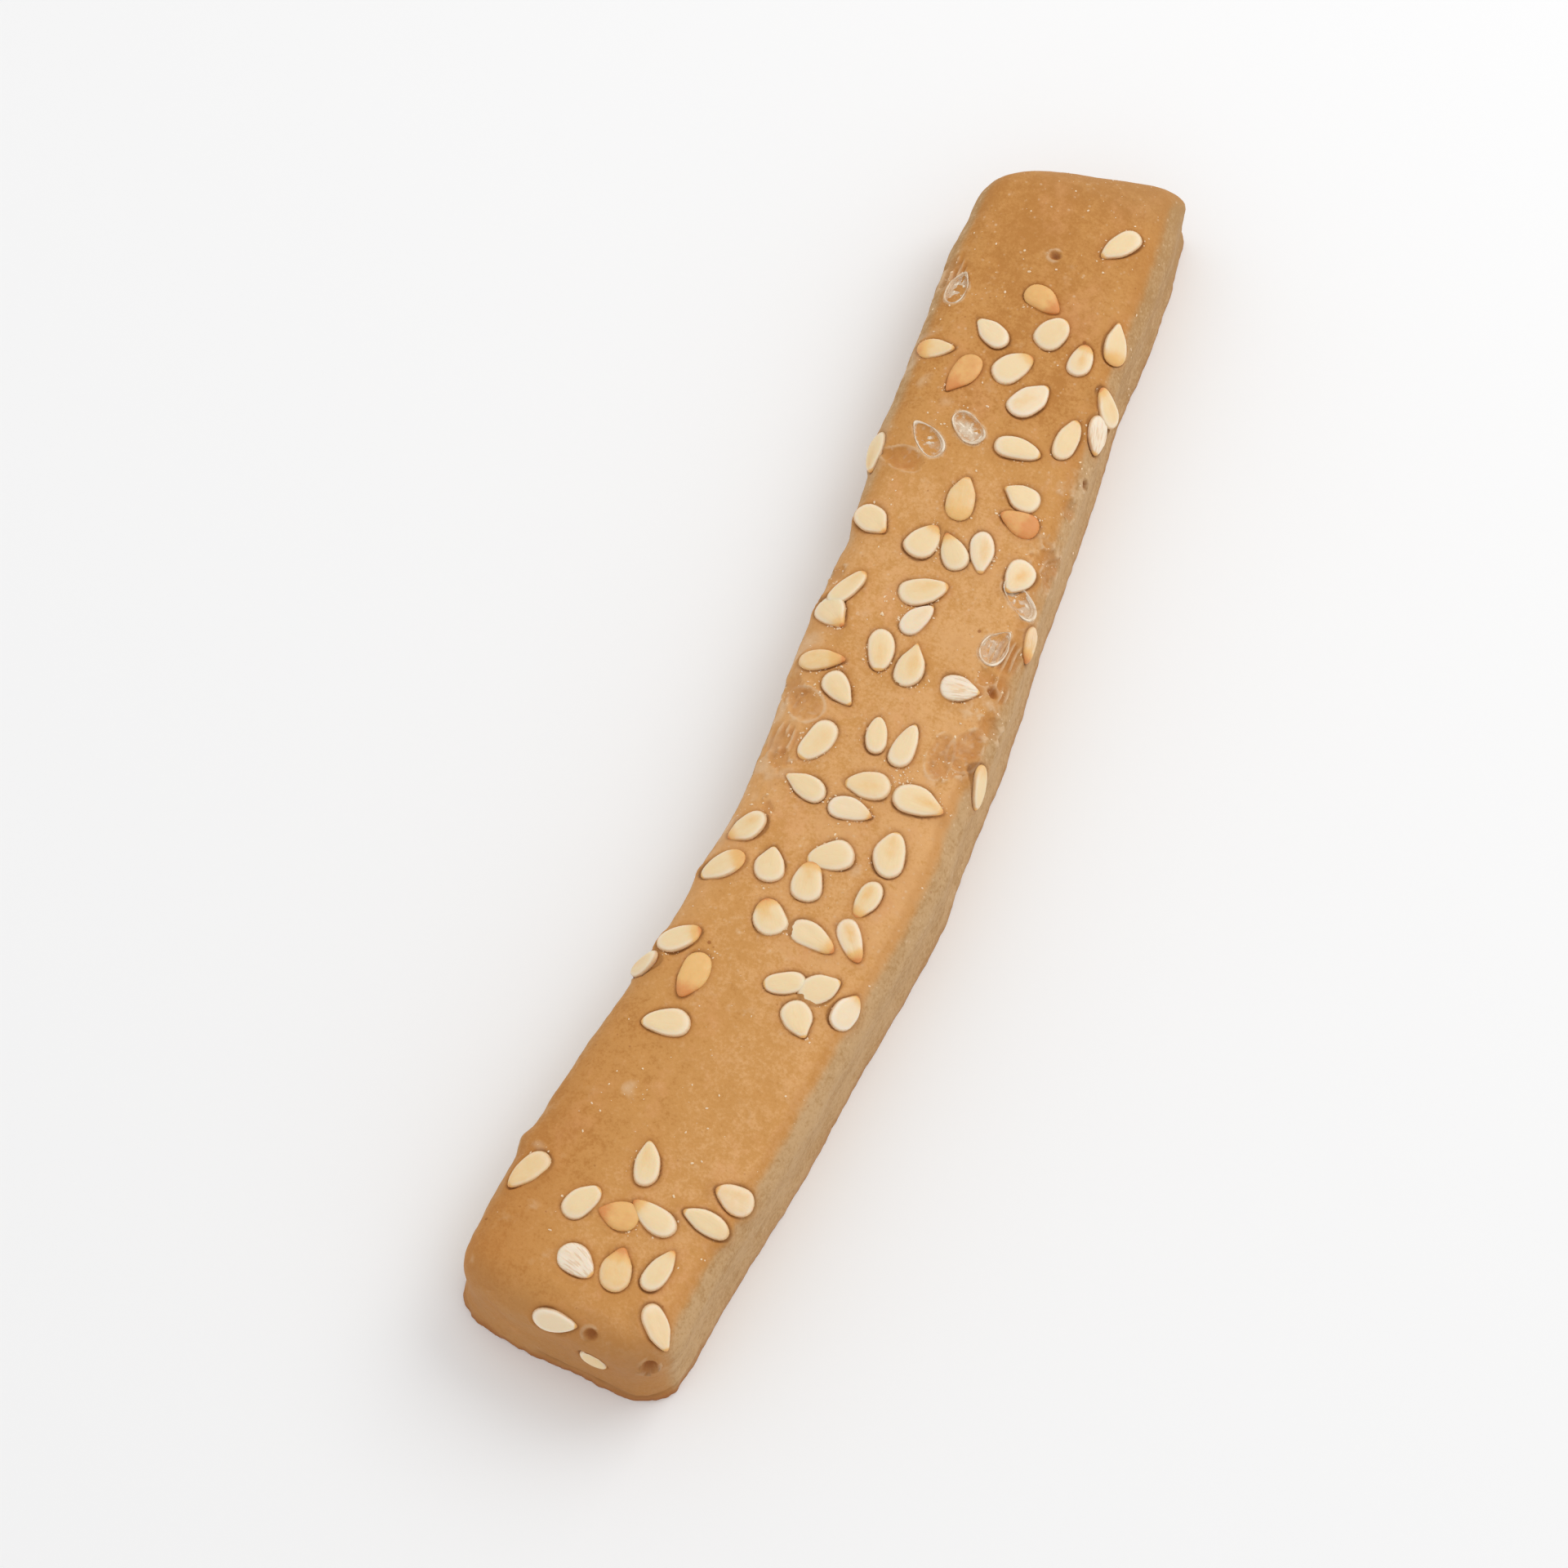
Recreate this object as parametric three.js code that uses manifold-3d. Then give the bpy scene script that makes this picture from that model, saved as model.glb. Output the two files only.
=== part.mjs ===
// A short flat-bottomed breadstick strewn with sesame seeds.
// Millimetres. It lies along Y with the cut near end at -Y, X is to the right and Z is up.
// The origin is under the middle of the stick, on the face it rests on.
import * as THREE from "three";
import { mergeVertices } from "three/addons/utils/BufferGeometryUtils.js";
import Module from "manifold-3d";

// ---- the stick ----
const LENGTH = 100;
const WIDTH = 16;
const HEIGHT = 8.5;
const DOME = 0.55; // extra height along the middle of the top
const SHOULDER = 3.0; // rounding between the top and the long sides
const SHOULDER_DROP = 2.4;
const END_ROUND = 3.0; // rounding between the top and the two ends
const END_DROP = 2.4;
const BEND_ANGLE = 10.8; // degrees between the two straight runs, seen from above
const BEND_AT = -9.7; // where along the stick it turns
const BEND_EASE = 3.2; // how gradually it turns
const NEAR_WIDER = 0.07; // share by which the near end is wider than the middle
const FAR_SLANT = 0.25; // the far end is cut across at a slant
const NEAR_SLANT = -0.03;
// rounding of the four upright corners
const CORNERS = { nearLeft: 4.4, nearRight: 2.4, farLeft: 4.4, farRight: 0.9 };
const FOOT = 0.2; // lip where the dough sagged onto the tray
const FOOT_HEIGHT = 0.3;
const FOOT_SOFT = 0.38;
const HOLLOW = 0.13; // how far the long walls draw in above the lip
const WAVE = 0.16; // unevenness of the crust
// puts the middle of the finished outline over the origin
const SHIFT_X = 2.36;
const SHIFT_Y = -0.76;

// ---- the sesame seeds ----
const SEED_LENGTH = 3.15;
const SEED_WIDTH = 1.85;
const LENGTH_SPREAD = 0.3; // how unlike each other the seeds are
const WIDTH_SPREAD = 0.4;
const SEED_RISE = 0.46; // how far a seed stands out of the crust
const SEED_ROOT = 0.8; // and how deep its solid goes in
const SEED_POINT = 0.3; // how much one end narrows
const BED_DEPTH = 0.34; // depth of a print left by a lost seed
const PIT_RADIUS = 0.62;
const PIT_DEPTH = 0.55;

// One row for every 2 mm of the stick from the far end, nine cells across from left to right, the
// outermost on the shoulders. A digit is a seed whose point aims as that key lies round the 5 of a
// number pad, so 8 points to the far end. A b after it is a browned seed, w a papery white one,
// s the glassy skin of a lost one and o its bare print. p is a pit and a dot bare crust.
const SOWING = [
  ".  .  .  .  .  .  .  .  .",
  ".  .  .  .  .  .  .  .  .",
  ".  .  .  .  .  .  .  .  .",
  ".  .  .  .  .  .  1  .  .",
  ".  .  .  .  p  .  .  .  .",
  ".  .  .  .  .  .  .  .  .",
  ".  8s .  .  3b .  .  .  .",
  ".  .  .  .  .  9  .  8  .",
  ".  .  .  7  .  .  8  .  .",
  ".  6  .  .  9  .  .  .  7",
  ".  .  2b .  .  9  .  .  2w",
  ".  .  .  .  .  .  .  8  .",
  ".  .  .  7s .  6  .  .  p",
  ".  .  7s .  .  .  .  .  .",
  "2  4o .  .  .  .  4  .  .",
  ".  .  .  .  8  .  4b .  .",
  ".  .  .  .  .  .  .  .  8o",
  ".  3  .  8  7  2  .  2  .",
  ".  .  .  .  .  .  .  7s .",
  ".  .  .  .  9  .  .  .  2w",
  ".  9  .  .  9  .  .  8s .",
  ".  3  .  .  .  .  .  .  .",
  ".  .  .  2  8  .  6w p  .",
  ".  6  .  .  .  .  .  .  .",
  ".  .  3  .  .  .  .  8o .",
  ".  7o .  .  8  8  8o .  3",
  ".  .  2  .  .  .  .  .  .",
  ".  .  .  .  4  .  6  .  .",
  ".  .  4  .  6  .  .  .  .",
  ".  .  .  .  .  .  8  .  .",
  ".  1  .  .  1  .  .  .  .",
  ".  .  8  .  8  .  2  .  .",
  ".  1  .  .  .  .  .  .  .",
  ".  .  .  7  .  6  3  .  .",
  ".  .  .  .  .  .  .  .  .",
  ".  9  .  .  .  1  9  8  .",
  "4  .  2b .  .  .  3  .  .",
  ".  .  .  .  .  .  .  .  .",
  ".  .  4  .  .  .  .  .  .",
  ".  .  .  .  .  .  .  .  .",
  ".  .  .  .  .  .  .  .  .",
  ".  .  .  .  .  .  .  .  .",
  ".  .  .  .  .  .  .  .  .",
  ".  .  .  .  8  .  .  4  .",
  ".  .  .  .  .  .  .  4  .",
  ".  1  .  9  4b 4  .  .  .",
  ".  .  .  .  .  .  8  .  .",
  ".  .  .  .  6w 8b .  .  .",
  ".  .  .  .  .  .  .  3  .",
  ".  .  .  .  6  .  .  .  p",
];
const SOWING_START = 31642; // start of the random draws
const SOWING_REACH = 1.12; // how far the nine cells spread, as a share of the width
const SOWING_EDGE = 0.97; // and how far out a seed may lie
const SOWING_SPREAD = 0.6; // share of its cell a seed may wander over
const SOWING_TRIES = 3; // draws per seed, the roomiest is kept
const AIM = { 6: 0, 9: 45, 8: 90, 7: 135, 4: 180, 1: 225, 2: 270, 3: 315, p: 0 };
const AIM_SPREAD = 40;
// one more seed stuck to the near end face
const END_SEED = { across: 0.55, level: 0.76, turn: -25 };

// ---- fineness of the facets ----
const STEPS_ACROSS = 14;
const STEPS_ALONG = 54;
const STEPS_UP = 7;
const SEED_SIDES = 9;
const CROWD_ACROSS = 1; // facets crowd towards the edges, 0 is even
const CROWD_ALONG = 0.75;
const CROWD_UP = 1.7; // power that crowds them towards the lip
const BELOW = -0.05; // the body starts this far under the base and is then cut flat

const wasm = await Module();
wasm.setup();

function crowd(value, share) {
  return (1 - share) * value + share * Math.sin((Math.PI * value) / 2);
}

function smooth(value) {
  const v = Math.min(Math.max(value, 0), 1);
  return v * v * (3 - 2 * v);
}

// 0 at an edge, 1 once the distance from it reaches the radius, along a quarter circle
function quarter(distance, radius) {
  const missing = Math.max(0, 1 - distance / radius);
  return Math.sqrt(Math.max(0, 1 - missing * missing));
}

// sideways position of the middle line at a place along the stick
function middle(y) {
  const slope = Math.tan(((BEND_ANGLE / 2) * Math.PI) / 180);
  const from = y - BEND_AT;
  return -slope * (Math.sqrt(from * from + BEND_EASE * BEND_EASE) - BEND_EASE);
}

function halfWidth(along) {
  const near = Math.max(-along, 0);
  return (WIDTH / 2) * (1 + NEAR_WIDER * near * near);
}

// how far the wall stands out at a height
function stand(z) {
  const lip = FOOT * Math.exp(-(((z - FOOT_HEIGHT) / FOOT_SOFT) ** 2));
  const hollow = HOLLOW * Math.sin(Math.PI * Math.min(z / (HEIGHT * 0.8), 1));
  return lip - hollow;
}

// A point of the body: across and along run from -1 to 1, level from 0 at the base to 1 on top.
function body(across, along, level) {
  const half = LENGTH / 2;
  const w = halfWidth(along);
  const fromEnd = half * (1 - Math.abs(along));
  const fromSide = w * (1 - Math.abs(across));
  const end = along < 0 ? "near" : "far";
  const corner = CORNERS[end + (across < 0 ? "Left" : "Right")];
  const squeeze = 1 - (corner / w) * (1 - quarter(fromEnd, corner));
  const endFall = 1 - (END_DROP / HEIGHT) * (1 - quarter(fromEnd, END_ROUND));
  const sideFall = 1 - (SHOULDER_DROP / HEIGHT) * (1 - quarter(fromSide, SHOULDER));
  const y = half * along;
  const x = w * across * squeeze;
  const dome = DOME * (1 - across * across) * endFall;
  const swell = WAVE * (Math.sin(y / 6.1 + 0.7) + Math.sin(y / 3.7 + across * 2.1 + 2.2)) * 0.5;
  const top = (HEIGHT - DOME + dome) * endFall * sideFall + swell * level;
  const z = top * level;
  const out = stand(z);
  const sway = WAVE * (Math.sin(y / 5.3 + (across < 0 ? 1.9 : 0.4)) + Math.sin(y / 2.9)) * 0.6;
  const bodyX = x + across * (out + sway * Math.abs(across));
  const bodyY = y + along * out;
  const slant = (along < 0 ? NEAR_SLANT : FAR_SLANT) * smooth((Math.abs(along) - 0.5) / 0.5);
  const slantedY = bodyY + slant * bodyX;
  return new THREE.Vector3(bodyX + middle(slantedY) + SHIFT_X, slantedY + SHIFT_Y, z);
}

function toManifold(geometry) {
  geometry.deleteAttribute("normal");
  geometry.deleteAttribute("uv");
  const merged = mergeVertices(geometry, 1e-5);
  return new wasm.Manifold(
    new wasm.Mesh({
      numProp: 3,
      vertProperties: new Float32Array(merged.attributes.position.array),
      triVerts: new Uint32Array(merged.index.array),
    }),
  );
}

function makeBody() {
  const box = new THREE.BoxGeometry(2, 2, 1, STEPS_ACROSS, STEPS_ALONG, STEPS_UP);
  const corners = box.attributes.position;
  const point = new THREE.Vector3();
  for (let i = 0; i < corners.count; i += 1) {
    point.fromBufferAttribute(corners, i);
    const across = crowd(point.x, CROWD_ACROSS);
    const along = crowd(point.y, CROWD_ALONG);
    const level = BELOW + (1 - BELOW) * (point.z + 0.5) ** CROWD_UP;
    const placed = body(across, along, level);
    corners.setXYZ(i, placed.x, placed.y, placed.z);
  }
  return toManifold(box);
}

// A frame standing on the body's surface, z outwards, x turned from the across direction.
function frameOn(point, acrossStep, alongStep, turn) {
  const u = acrossStep.clone().sub(point).normalize();
  const n = new THREE.Vector3().crossVectors(u, alongStep.clone().sub(point)).normalize();
  const v = new THREE.Vector3().crossVectors(n, u);
  const angle = (turn * Math.PI) / 180;
  const x = u.clone().multiplyScalar(Math.cos(angle)).addScaledVector(v, Math.sin(angle));
  const y = new THREE.Vector3().crossVectors(n, x);
  return new THREE.Matrix4().makeBasis(x, y, n).setPosition(point);
}

function frameOnTop(across, along, turn) {
  const point = body(across, along, 1);
  return frameOn(point, body(across + 0.02, along, 1), body(across, along + 0.004, 1), turn);
}

// Minimal standard generator, numbers from 0 to 1.
function makeDraw(start) {
  let state = start;
  return () => {
    state = (state * 16807) % 2147483647;
    return state / 2147483647;
  };
}

// Where every seed, print and pit goes.
function sow() {
  const draw = makeDraw(SOWING_START);
  for (let i = 0; i < 3; i += 1) {
    draw();
  }
  const sown = [];
  SOWING.forEach((row, i) => {
    const cells = row.split(/\s+/);
    cells.forEach((cell, j) => {
      if (cell === ".") {
        return;
      }
      let best = null;
      for (let k = 0; k < SOWING_TRIES; k += 1) {
        const along = 1 - ((i + 0.5 + (draw() - 0.5) * SOWING_SPREAD) * 2) / SOWING.length;
        const step = ((j + 0.5 + (draw() - 0.5) * SOWING_SPREAD) * 2) / cells.length - 1;
        const across = Math.min(Math.max(step * SOWING_REACH, -SOWING_EDGE), SOWING_EDGE);
        let gap = SEED_LENGTH * 3;
        for (const other of sown) {
          const dx = ((across - other.across) * WIDTH) / 2;
          const dy = ((along - other.along) * LENGTH) / 2;
          gap = Math.min(gap, Math.hypot(dx, dy));
        }
        if (best === null || gap > best.gap) {
          best = { across, along, gap };
        }
      }
      best.kind = cell.at(-1);
      best.turn = AIM[cell[0]] + (draw() - 0.5) * AIM_SPREAD;
      best.length = SEED_LENGTH * (1 + (draw() - 0.5) * LENGTH_SPREAD);
      best.width = SEED_WIDTH * (1 + (draw() - 0.5) * WIDTH_SPREAD);
      sown.push(best);
    });
  });
  return sown;
}

// A drop-shaped solid pointing along +X, widest at z = 0, with its own height above and below.
function makeSeed(length, width, rise, root) {
  const ball = new THREE.SphereGeometry(1, SEED_SIDES, 4);
  ball.rotateX(Math.PI / 2);
  const corners = ball.attributes.position;
  for (let i = 0; i < corners.count; i += 1) {
    const x = corners.getX(i);
    const narrowed = corners.getY(i) * (1 - SEED_POINT * x - 0.25 * SEED_POINT * x * x);
    const z = corners.getZ(i);
    corners.setXYZ(i, (x * length) / 2, (narrowed * width) / 2, z * (z > 0 ? rise : root));
  }
  return ball;
}

function placed(geometry, frame) {
  geometry.applyMatrix4(frame);
  return toManifold(geometry);
}

const sown = sow();
const added = [];
const removed = [];
for (const item of sown) {
  const frame = frameOnTop(item.across, item.along, item.turn);
  if (item.kind === "p") {
    removed.push(placed(makeSeed(PIT_RADIUS * 2, PIT_RADIUS * 1.7, 1, PIT_DEPTH), frame));
  } else if (item.kind === "o" || item.kind === "s") {
    removed.push(placed(makeSeed(item.length, item.width, 1, BED_DEPTH), frame));
  } else {
    added.push(placed(makeSeed(item.length, item.width, SEED_RISE, SEED_ROOT), frame));
  }
}

const endPoint = body(END_SEED.across, -1, END_SEED.level);
const endFrame = frameOn(
  endPoint,
  body(END_SEED.across + 0.02, -1, END_SEED.level),
  body(END_SEED.across, -1, END_SEED.level + 0.02),
  END_SEED.turn,
);
added.push(placed(makeSeed(SEED_LENGTH * 0.9, SEED_WIDTH * 0.9, SEED_RISE, SEED_ROOT), endFrame));

const underneath = new THREE.BoxGeometry(WIDTH * 4, LENGTH * 2, HEIGHT);
underneath.translate(0, 0, -HEIGHT / 2);
removed.push(toManifold(underneath));
const carved = makeBody().subtract(wasm.Manifold.union(removed));
const whole = carved.add(wasm.Manifold.union(added));
const finished = whole.getMesh();
const geometry = new THREE.BufferGeometry();
geometry.setAttribute("position", new THREE.BufferAttribute(finished.vertProperties, 3));
geometry.setIndex(new THREE.BufferAttribute(finished.triVerts, 1));
geometry.computeVertexNormals();

const crust = new THREE.MeshStandardMaterial({ color: 0xca9155, roughness: 0.75, metalness: 0 });
const breadstick = new THREE.Mesh(geometry, crust);
breadstick.name = "breadstick";

const group = new THREE.Group();
group.name = "sesame_breadstick";
group.add(breadstick);
export default group;
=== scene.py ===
"""A sesame breadstick: the browned crust, the seeds on it, the glassy skins and the loose specks.

Laid out as an add-on: every piece is an operator, its sizes and colours are properties.
Lengths are in metres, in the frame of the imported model, unless a comment says mm.
"""

import math

import bmesh
import bpy
from bpy.props import FloatProperty, FloatVectorProperty, IntProperty, PointerProperty
from bpy.types import Operator, Panel, PropertyGroup
from mathutils import Matrix, Vector, noise
from mathutils.bvhtree import BVHTree
from mathutils.kdtree import KDTree


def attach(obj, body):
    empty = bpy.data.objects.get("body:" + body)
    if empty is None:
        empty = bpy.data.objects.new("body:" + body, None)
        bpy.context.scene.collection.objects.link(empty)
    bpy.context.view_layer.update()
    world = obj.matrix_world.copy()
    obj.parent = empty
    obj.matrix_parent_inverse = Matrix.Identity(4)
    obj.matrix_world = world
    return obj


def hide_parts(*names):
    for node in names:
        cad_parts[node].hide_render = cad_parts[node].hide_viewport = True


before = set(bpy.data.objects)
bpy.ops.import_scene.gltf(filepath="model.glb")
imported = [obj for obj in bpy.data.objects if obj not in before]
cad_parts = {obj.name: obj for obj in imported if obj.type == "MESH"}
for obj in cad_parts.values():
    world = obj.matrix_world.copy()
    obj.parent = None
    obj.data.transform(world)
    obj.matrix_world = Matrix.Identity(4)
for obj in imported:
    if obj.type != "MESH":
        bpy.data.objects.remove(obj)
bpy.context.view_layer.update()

bl_info = {
    "name": "Sesame breadstick",
    "version": (1, 0, 0),
    "blender": (4, 5, 0),
    "location": "View3D > Sidebar > Breadstick",
    "description": "Makes a bent sesame breadstick with its seeds, skins and specks",
    "category": "Object",
}

MM = 0.001
NODE = "breadstick"
BODY = "root"
CRUST = "crust"
FLOOR_SIZE = 3.0
FLOOR_GAP = 0.02 * MM
FLOOR_SHADE = (0.95, 0.95, 0.95, 1)
TINY = 1e-6

# Where the crust is sown. One row for every 2 mm of the stick from the far end, nine cells across
# from left to right, the outermost on the shoulders. A digit is a seed whose point aims as that
# key lies round the 5 of a number pad, so 8 points to the far end. A b after it is a browned
# seed, w a papery white one, s the glassy skin of a lost one and o its bare print. p is a pit
# and a dot bare crust. The chart wasn't written by hand: scratch programs found the seeds, worked
# out their places and printed it. The start of the draws was picked by a search for the draws
# that fall nearest to those seeds.
SOWING = """
.  .  .  .  .  .  .  .  .
.  .  .  .  .  .  .  .  .
.  .  .  .  .  .  .  .  .
.  .  .  .  .  .  1  .  .
.  .  .  .  p  .  .  .  .
.  .  .  .  .  .  .  .  .
.  8s .  .  3b .  .  .  .
.  .  .  .  .  9  .  8  .
.  .  .  7  .  .  8  .  .
.  6  .  .  9  .  .  .  7
.  .  2b .  .  9  .  .  2w
.  .  .  .  .  .  .  8  .
.  .  .  7s .  6  .  .  p
.  .  7s .  .  .  .  .  .
2  4o .  .  .  .  4  .  .
.  .  .  .  8  .  4b .  .
.  .  .  .  .  .  .  .  8o
.  3  .  8  7  2  .  2  .
.  .  .  .  .  .  .  7s .
.  .  .  .  9  .  .  .  2w
.  9  .  .  9  .  .  8s .
.  3  .  .  .  .  .  .  .
.  .  .  2  8  .  6w p  .
.  6  .  .  .  .  .  .  .
.  .  3  .  .  .  .  8o .
.  7o .  .  8  8  8o .  3
.  .  2  .  .  .  .  .  .
.  .  .  .  4  .  6  .  .
.  .  4  .  6  .  .  .  .
.  .  .  .  .  .  8  .  .
.  1  .  .  1  .  .  .  .
.  .  8  .  8  .  2  .  .
.  1  .  .  .  .  .  .  .
.  .  .  7  .  6  3  .  .
.  .  .  .  .  .  .  .  .
.  9  .  .  .  1  9  8  .
4  .  2b .  .  .  3  .  .
.  .  .  .  .  .  .  .  .
.  .  4  .  .  .  .  .  .
.  .  .  .  .  .  .  .  .
.  .  .  .  .  .  .  .  .
.  .  .  .  .  .  .  .  .
.  .  .  .  .  .  .  .  .
.  .  .  .  8  .  .  4  .
.  .  .  .  .  .  .  4  .
.  1  .  9  4b 4  .  .  .
.  .  .  .  .  .  8  .  .
.  .  .  .  6w 8b .  .  .
.  .  .  .  .  .  .  3  .
.  .  .  .  6  .  .  .  p
""".strip().splitlines()
SOWING_START = 31642
SOWING_REACH = 1.12
SOWING_EDGE = 0.97
SOWING_SPREAD = 0.6
SOWING_TRIES = 3
SOWING_SKIPPED = 3
SKIPPED = 5
AIM = {"6": 0, "9": 45, "8": 90, "7": 135, "4": 180, "1": 225, "2": 270, "3": 315, "p": 0}
AIM_SPREAD = 40
END_SEED_ACROSS = 0.55
END_SEED_LEVEL = 0.76
END_SEED_TURN = -25
END_SEED_TILT = -14
END_SEED_SUNK = 0.10 * MM
END_SEED_LONG = 0.72
END_SEED_WIDE = 0.85

# The places from here on were picked by eye, and a scratch program worked out where they are on
# the stick. These are holes besides the chart's: across, along and how big against a plain pit.
PRICKED = (
    (0.37, -0.985, 1.7), (-0.91, -0.9, 0.35), (0.01, 0.43, 0.3), (0.55, 0.395, 0.45),
    (-0.35, 0.155, 0.25), (0.3, -0.42, 0.25),
)
# The zones are given by their place across and along and by how many mm they reach.
# Where the crust blistered into fine foam.
FOAMED = (
    (-0.92, 0.72, 1.5), (0.9, 0.47, 1.8), (0.9, 0.36, 2.4), (0.9, 0.24, 1.8),
    (0.8, 0.05, 2.6), (0.62, -0.04, 1.5), (-0.92, 0.01, 1.7), (-0.86, -0.13, 2.2),
)
# Burst bubbles that left a round dip with a thin rim.
BUBBLES = (
    (0.9, 0.345, 1.25), (0.72, 0.125, 0.75), (0.88, 0.06, 1.15), (0.66, -0.03, 1.0),
    (0.93, 0.44, 0.9), (-0.9, 0.005, 1.0), (-0.8, -0.111, 0.8), (-0.7, -0.19, 0.65),
    (-0.93, 0.2, 0.8),
)
# Where it shrank into folds along the stick.
FOLDED = ((0.82, 0.17, 1.3), (0.86, 0.12, 1.0), (-0.9, 0.765, 1.4), (-0.84, -0.08, 1.3))
# Where flour was smeared.
SMEARED = (
    (-0.39, -0.658, 0.9), (-0.8, -0.79, 1.0), (-0.83, 0.761, 1.0), (-0.42, 0.5, 1.6),
    (0.2, -0.24, 1.2), (-0.97, 0.06, 2.4), (-0.95, -0.05, 2.2), (-0.93, -0.14, 3.2),
    (-0.97, -0.24, 2.2), (-0.96, 0.56, 2.6), (-0.97, 0.66, 2.2),
)
# Where the outline bulges or draws in, with how many mm it goes out at last.
BULGES = (
    (-0.97, -0.77, 1.0, 0.45), (-0.97, -0.92, 2.3, -0.36), (-0.8, -0.99, 1.6, -0.26),
    (0.97, -0.985, 1.7, -0.5), (-0.97, 0.46, 2.2, 0.3), (-0.97, 0.27, 1.4, -0.25),
    (-0.97, 0.9, 2.6, -0.34), (-0.7, 0.99, 2.2, -0.22), (0.97, 0.68, 3.4, -0.26),
    (0.97, 0.9, 1.4, 0.2), (-0.97, -0.3, 1.6, 0.15), (0.97, -0.18, 1.8, 0.15),
)


# ---- what a user would change ----


def in_units(scale, **settings):
    """A maker of number properties that are given in units of this size."""
    def make(name, description, value):
        return FloatProperty(name=name, description=description, default=value * scale, **settings)

    return make


length = in_units(MM, unit="LENGTH", precision=5)
share = in_units(1, precision=4)
angle = in_units(math.radians(1), unit="ROTATION")


def place(name, description, x, y, z):
    """A place property, given in millimetres."""
    default = (x * MM, y * MM, z * MM)
    return FloatVectorProperty(
        name=name, description=description, default=default, unit="LENGTH", precision=5
    )


def colour(name, description, red, green, blue):
    """A colour property, given as the screen shows it from 0 to 255."""
    def linear(value):
        value /= 255
        return value / 12.92 if value <= 0.04045 else ((value + 0.055) / 1.055) ** 2.4

    default = (linear(red), linear(green), linear(blue), 1.0)
    return FloatVectorProperty(
        name=name, description=description, subtype="COLOR", size=4, default=default, min=0, max=1
    )


# The bend, the slants, the corners and the heights come from a scratch program's fit to an outline.
class BreadstickSizes(PropertyGroup):
    """The baked stick."""

    length: length("Length", "Along the stick, before its ends are slanted", 100)
    width: length("Width", "Across the middle of the stick", 16)
    height: length("Height", "From the base to the middle of the top", 8.5)
    dome: length("Dome", "How much of the height is the crown of the top", 0.55)
    shoulder: length("Shoulder", "Rounding between the top and the long walls", 3.0)
    shoulder_drop: length("Shoulder drop", "How far the top falls over the shoulder", 2.4)
    end_round: length("End rounding", "Rounding between the top and the ends", 3.0)
    end_drop: length("End drop", "How far the top falls at the ends", 2.4)
    bend_angle: angle("Bend", "Between the two runs", 10.8)
    bend_at: length("Bend place", "Where along the stick it turns", -9.7)
    bend_ease: length("Bend ease", "How gradually it turns", 3.2)
    near_wider: share("Near widening", "Share by which the near end is wider", 0.07)
    far_slant: share("Far slant", "Slope of the cut at the far end", 0.25)
    near_slant: share("Near slant", "Slope of the cut at the near end", -0.03)
    near_left: length("Near left corner", "Upright corner radius", 4.4)
    near_right: length("Near right corner", "Upright corner radius", 2.4)
    far_left: length("Far left corner", "Upright corner radius", 4.4)
    far_right: length("Far right corner", "Upright corner radius", 0.9)
    foot: length("Foot", "Lip where the dough sagged onto the tray", 0.2)
    foot_height: length("Foot height", "Height of the lip's edge", 0.3)
    foot_soft: length("Foot softness", "How gradually the lip fades", 1.3)
    ragged: length("Ragged foot", "Unevenness of the lip's edge", 0.12)
    hollow: length("Hollow", "How far the long walls draw in", 0.10)
    wave: length("Wave", "Slow unevenness of the crust", 0.16)
    shift_x: length("Shift X", "Puts the outline's middle over the origin", 2.36)
    shift_y: length("Shift Y", "Puts the outline's middle over the origin", -0.76)
    cell: length("Cell", "Size of the mesh's squares on the top", 0.22)
    wall_cell: length("Wall cell", "Height of the mesh's squares on the walls", 0.42)
    fine_band: length("Fine band", "Width round every seed where the squares are halved", 0.30)


class BreadstickSeeds(PropertyGroup):
    """The sesame seeds, their prints and the pits."""

    length: length("Length", "Of a sesame seed", 3.15)
    width: length("Width", "Of a sesame seed", 1.85)
    length_spread: share("Length spread", "How unlike in length the seeds are", 0.3)
    width_spread: share("Width spread", "How unlike in width the seeds are", 0.4)
    fuller: share("Fuller", "How much larger the seeds bake out than they are sown", 1.13)
    thick: length("Thickness", "Of a sesame seed", 0.62)
    point: share("Point", "How much one end narrows", 0.34)
    neck: share("Neck", "How much more the seed narrows just behind its point", 0.20)
    lift: length("Lift", "Centre of a seed above the crust", 0.03)
    bed_depth: length("Print depth", "Depth of the print of a lost seed", 0.30)
    pit_radius: length("Pit radius", "Radius of a pit", 0.62)
    clusters: IntProperty(name="Clusters", description="Clusters of flour specks", default=170, min=0)
    specks: IntProperty(name="Specks", description="Loose flour specks", default=260, min=0)


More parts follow.
